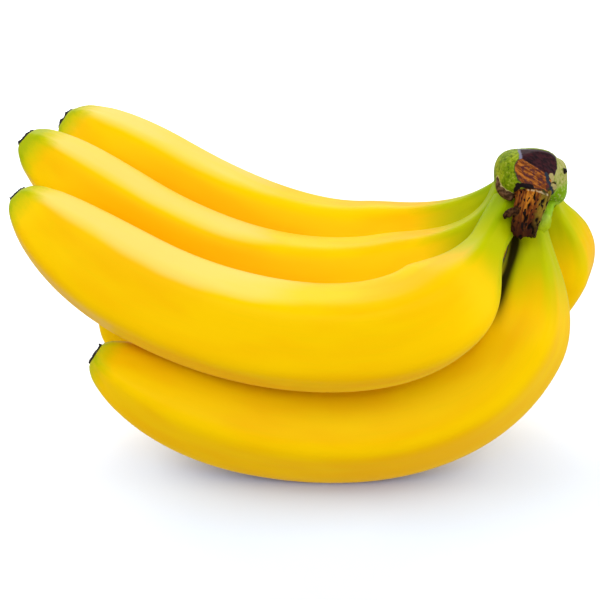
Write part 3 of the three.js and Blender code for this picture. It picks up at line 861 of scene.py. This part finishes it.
# Crown skin: a matt green rind, blotched olive, with pale and dark freckles. Its thin rim shrank to
# a blue-black line round the cuts and the stub, whose flesh and wood belong to the same material.
def crown_tissue():
    material, tree, shader = new_material("crown_skin_and_dry_flesh")
    grown = add(tree, "Attribute", dict(attribute_name="grown"), out="Vector")
    place = add(tree, "SeparateXYZ", {}, grown).node.outputs
    # Patterns in mm: blotches 5 mm wide, freckles under 1 mm, and the wavering of every edge.
    broad = add(tree, "TexNoise", {}, Vector=grown, Scale=1 / 5, Detail=2.0)
    freckles = add(tree, "TexNoise", {}, Vector=grown, Scale=1 / 0.9, Detail=2.0)
    wander = add(tree, "TexNoise", {}, Vector=grown, Scale=1 / 1.2, Detail=3.0)
    # How far inside the edge of each mark a point lies, in mm, with an edge that wavers.
    inside = {}
    for name, sway in (
        ("first_cut", 0.5), ("second_cut", 0.5), ("stub", 0.8), ("web", 0.8), ("leaf_scar", 1.4),
        ("charred", 1.2), ("notch", 1.0), ("shrunk_edge", 1.0), ("crack", 0.5), ("flap", 0.4),
        ("nub", 0.4), ("off_stalks", 0.6), ("tan_patch", 0.8),
    ):
        within = add(tree, "Attribute", dict(attribute_name=name), out="Fac")
        shift = add(tree, "MapRange", {}, wander, 0.0, 1.0, -sway / 2, sway / 2)
        inside[name] = add(tree, "Math", dict(operation="ADD"), within, shift)
    flesh, char = cut_flesh(tree)
    wood, stripes = torn_wood(tree, wander, inside["crack"])

    # The skin of the cushion and of the right lobe, which is drier on top, and the pale seam where
    # it meets a stalk.
    olive = add(tree, "MapRange", SOFTLY, broad, 0.35, 0.65)
    skin = add(tree, "Mix", PAINT, olive, "#6C8804", "#94A416")
    pale = add(tree, "MapRange", SOFTLY, freckles, 0.54, 0.7, 0.0, 0.75)
    skin = add(tree, "Mix", PAINT, pale, skin, "#A4AA3A")
    dark = add(tree, "MapRange", SOFTLY, freckles, 0.48, 0.34, 0.0, 0.8)
    skin = add(tree, "Mix", PAINT, dark, skin, "#465A04")
    height = add(tree, "Math", PLUS_TIMES, wander, 5.0, place["Z"])
    dry = add(tree, "MapRange", SOFTLY, height, 97.5, 100.5)
    lobe = add(tree, "Mix", PAINT, dry, "#78A406", "#A8A65C")
    lobe = add(tree, "Mix", PAINT, pale, lobe, "#B8B878")
    lobe = add(tree, "Mix", PAINT, dark, lobe, "#6C8A10")
    right = add(tree, "Math", PLUS_TIMES, wander, 1.5, place["X"])
    right = add(tree, "MapRange", SOFTLY, right, 82.9, 84.4)
    skin = add(tree, "Mix", PAINT, right, skin, lobe)
    seam = add(tree, "MapRange", SOFTLY, inside["off_stalks"], 1.0, 0.6, 0.0, 0.75)
    skin = add(tree, "Mix", PAINT, seam, skin, "#C0C878")

    # The corky leaf scar with its pale edge, and the fresh green web.
    brown = add(tree, "MapRange", SOFTLY, freckles, 0.35, 0.65)
    scar = add(tree, "Mix", PAINT, brown, "#3A2612", "#6A4C34")
    scar_edge = add(tree, "MapRange", SOFTLY, inside["leaf_scar"], 0.15, 0.4)
    scar = add(tree, "Mix", PAINT, scar_edge, "#B8AC74", scar)
    scarred = add(tree, "MapRange", SOFTLY, inside["leaf_scar"], -0.1, 0.1)
    skin = add(tree, "Mix", PAINT, scarred, skin, scar)
    leaf_green = add(tree, "MapRange", SOFTLY, broad, 0.35, 0.7)
    web_skin = add(tree, "Mix", PAINT, leaf_green, "#90BE1A", "#B0D050")
    downwards = add(tree, "MapRange", SOFTLY, place["Z"], 88.0, 82.0)
    web_skin = add(tree, "Mix", PAINT, downwards, web_skin, "#A0B20A")
    webbed = add(tree, "MapRange", SOFTLY, inside["web"], -0.2, 0.2)
    skin = add(tree, "Mix", PAINT, webbed, skin, web_skin)

    # The skin's shrunken rim round the cuts and the stub, and its charred patch with an ash edge.
    rim = add(tree, "Math", dict(operation="MAXIMUM"), inside["first_cut"], inside["second_cut"])
    by_cut = add(tree, "MapRange", SOFTLY, rim, -0.5, -0.15)
    skin = add(tree, "Mix", PAINT, by_cut, skin, "#2A2030")
    by_stub = add(tree, "MapRange", SOFTLY, inside["stub"], -0.5, 0.2)
    skin = add(tree, "Mix", PAINT, by_stub, skin, "#17100F")
    to_right = add(tree, "MapRange", SOFTLY, place["X"], 74.0, 77.0)
    ash_edge = add(tree, "Mix", PAINT, to_right, "#77758A", "#2E1C26")
    past_edge = add(tree, "MapRange", SOFTLY, inside["charred"], 0.6, 1.3)
    scorched = add(tree, "Mix", PAINT, past_edge, ash_edge, char)
    burnt = add(tree, "MapRange", SOFTLY, inside["charred"], -0.1, 0.2)
    skin = add(tree, "Mix", PAINT, burnt, skin, scorched)

    # What lies over what, from the skin up to the small marks.
    in_first = add(tree, "MapRange", SOFTLY, inside["first_cut"], -0.25, -0.1)
    body = add(tree, "Mix", PAINT, in_first, skin, flesh)
    in_second = add(tree, "MapRange", SOFTLY, inside["second_cut"], -0.25, -0.1)
    body = add(tree, "Mix", PAINT, in_second, body, char)
    notched = add(tree, "MapRange", SOFTLY, inside["notch"], 0.0, 0.4)
    body = add(tree, "Mix", PAINT, notched, body, "#1A1216")
    in_stub = add(tree, "MapRange", SOFTLY, inside["stub"], -0.1, 0.3)
    body = add(tree, "Mix", PAINT, in_stub, body, wood)
    tan = add(tree, "MapRange", SOFTLY, inside["tan_patch"], 0.0, 0.3)
    body = add(tree, "Mix", PAINT, tan, body, "#A89A62")
    line = add(tree, "MapRange", SOFTLY, inside["shrunk_edge"], 0.1, 0.4)
    body = add(tree, "Mix", PAINT, line, body, "#28303C")
    dead = add(tree, "Mix", PAINT, brown, "#1E0C08", "#4C3018")
    in_flap = add(tree, "MapRange", SOFTLY, inside["flap"], -0.5, -0.1)
    body = add(tree, "Mix", PAINT, in_flap, body, dead)
    in_nub = add(tree, "MapRange", SOFTLY, inside["nub"], 0.1, 0.4)
    body = add(tree, "Mix", PAINT, in_nub, body, "#1C1614")
    tree.links.new(body, shader.inputs["Base Color"])
    shader.inputs["Roughness"].default_value = 0.6
    shader.inputs["Specular IOR Level"].default_value = 0.06
    relief = add(tree, "Math", PLUS_TIMES, stripes, 0.6, freckles)
    bump = add(tree, "Bump", {}, Strength=0.5, Distance=0.15 * MM, Height=relief)
    tree.links.new(bump, shader.inputs["Normal"])
    return material


crown_mesh = grown_together([
    cushion_grid(CROWN_CENTRE, CROWN_HALF), cushion_grid(LOBE_CENTRE, LOBE_HALF), stub_grid(),
    web_grid(), ridge_grid(LEAF_SCAR, SCAR_RADIUS), ridge_grid(SHRIVELLED_FLAP, FLAP_RADIUS),
])
carve_crown(crown_mesh)
crown_mesh.polygons.foreach_set("use_smooth", [True] * len(crown_mesh.polygons))
show("crown_cushion", crown_mesh, crown_tissue(), "crown")

# The studio: a white floor with no edge in sight, and soft boxes all round that light the fruit
# nearly evenly. The rear ones put the milky sheen on the upper faces. Each lamp lights the fruit or
# the floor, so that the floor stays white and its shadow stays grey.
HALF_FLOOR = 3.0
WHITER_FROM = 0.28
WHITE_FROM = 0.45
floor_mesh = bpy.data.meshes.new("studio_floor")
corners = [(x * HALF_FLOOR, y * HALF_FLOOR, 0) for x, y in ((-1, -1), (1, -1), (1, 1), (-1, 1))]
floor_mesh.from_pydata(corners, [], [(0, 1, 2, 3)])
floor = bpy.data.objects.new("studio_floor", floor_mesh)
bpy.context.scene.collection.objects.link(floor)
# Matt white paper. Away from the fruit it washes out to pure white, as overexposed paper does, but
# only to the eye: that throws no light back at the fruit.
paper, paper_tree, paper_shader = new_material("white_paper")
paper_shader.inputs["Base Color"].default_value = colour("#FAFAFA")
paper_shader.inputs["Roughness"].default_value = 0.9
on_paper = add(paper_tree, "TexCoord", {}, out="Object")
away = add(paper_tree, "VectorMath", dict(operation="LENGTH"), on_paper, out="Value")
washed_out = add(paper_tree, "MapRange", SOFTLY, away, WHITER_FROM, WHITE_FROM, 0.0, 1.0)
seen = add(paper_tree, "LightPath", {}, out="Is Camera Ray")
glare = add(paper_tree, "Math", dict(operation="MULTIPLY"), washed_out, seen)
paper_shader.inputs["Emission Color"].default_value = colour("#FFFFFF")
paper_tree.links.new(glare, paper_shader.inputs["Emission Strength"])
floor_mesh.materials.append(paper)
floor.visible_glossy = False
floor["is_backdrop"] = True

# The white walls round it fill in what light the lamps leave out.
world = bpy.data.worlds.new("white_studio")
world.use_nodes = True
world.node_tree.nodes["Background"].inputs["Color"].default_value = (1, 1, 1, 1)
world.node_tree.nodes["Background"].inputs["Strength"].default_value = 0.45
bpy.context.scene.world = world
lit_floor = bpy.data.collections.new("lit_floor")
lit_floor.objects.link(floor)
lit_fruit = bpy.data.collections.new("lit_fruit")
for piece in bpy.context.scene.objects:
    if piece.type == "MESH" and piece != floor:
        lit_fruit.objects.link(piece)


def soft_box(name, place, aim, size, brightness, receivers, tint=(1, 1, 1)):
    """An unseen lamp of an even brightness, with its place and size in m."""
    light = bpy.data.lights.new(name, "AREA")
    light.shape = "RECTANGLE"
    light.size, light.size_y = size
    light.energy = brightness * math.pi * size[0] * size[1]
    light.color = tint
    lamp = bpy.data.objects.new(name, light)
    lamp.location = place
    lamp.rotation_euler = (Vector(aim) - Vector(place)).to_track_quat("-Z", "Y").to_euler()
    lamp.visible_camera = False
    lamp.light_linking.receiver_collection = receivers
    bpy.context.scene.collection.objects.link(lamp)
    return lamp


# Name, place, size and brightness, and the floor's lamps have a tint that evens out its white.
FRUIT_LAMPS = [
    ("overhead_box", (0, 0.1, 0.9), (1.2, 0.4), 0.55),
    ("rear_box", (0, 1.2, 0.7), (2.4, 1.0), 1.7),
    ("front_box", (0, -1.0, 1.0), (2.4, 0.6), 2.4),
    ("left_box", (-1.2, 0, 0.8), (1.0, 1.0), 1.5),
    ("right_box", (1.2, 0, 0.8), (1.0, 1.0), 1.4),
    ("right_low_box", (1.2, -0.3, 0.25), (1.0, 0.5), 1.35),
]
FLOOR_LAMPS = [
    ("floor_rear_box", (0, 0.9, 0.45), (1.6, 0.8), 3.2, (1, 0.96, 0.92)),
    ("floor_left_box", (-0.9, 0, 0.45), (0.8, 1.2), 3.6, (0.9, 1, 1)),
    ("floor_right_box", (0.9, 0, 0.45), (0.8, 1.2), 3, (0.84, 0.97, 1)),
    ("floor_front_box", (0, -0.9, 0.45), (1.6, 0.8), 1.3, (0, 0.3, 1)),
]
for name, place, size, brightness in FRUIT_LAMPS:
    soft_box(name, place, (0, 0, 0.05), size, brightness, lit_fruit)
# The light that the paper throws up at the fruit comes from a lamp under it, which only the fruit
# blocks and which its gloss doesn't mirror.
glow = soft_box("glow_of_the_paper", (0, 0, -0.02), (0, 0, 1), (1.6, 1.2), 0.34, lit_fruit)
glow.visible_glossy = False
glow.light_linking.blocker_collection = lit_fruit
unbounced = [glow]
for name, place, size, brightness, tint in FLOOR_LAMPS:
    unbounced.append(soft_box(name, place, (0, 0, 0), size, brightness, lit_floor, tint))
# These reach what they light straight from the lamp, so that no fruit tints the floor yellow.
for lamp in unbounced:
    lamp.data.cycles.max_bounces = 0
    lamp.data.cycles.use_multiple_importance_sampling = False

# The camera: it looks along +Y and down on the bunch, through a long lens from 720 mm away, so that
# the near and the far fruits are drawn at nearly one scale.
AIM = np.array([0, 30, 55]) + to_origin
DISTANCE = 720
ELEVATION = math.radians(25)
back = np.array([0, -math.cos(ELEVATION), math.sin(ELEVATION)])
camera_data = bpy.data.cameras.new("camera")
camera_data.lens = 127.5
camera_data.sensor_width = 36
camera_data.clip_end = 20
camera = bpy.data.objects.new("camera", camera_data)
camera.location = (AIM + back * DISTANCE) * MM
camera.rotation_euler = Vector(-back).to_track_quat("-Z", "Y").to_euler()
bpy.context.scene.collection.objects.link(camera)
bpy.context.scene.camera = camera
bpy.context.scene.view_settings.view_transform = "Standard"

boxes = {"cad": packed_box, "visual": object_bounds()}
{key: [list(corner) for corner in box] for key, box in boxes.items()}
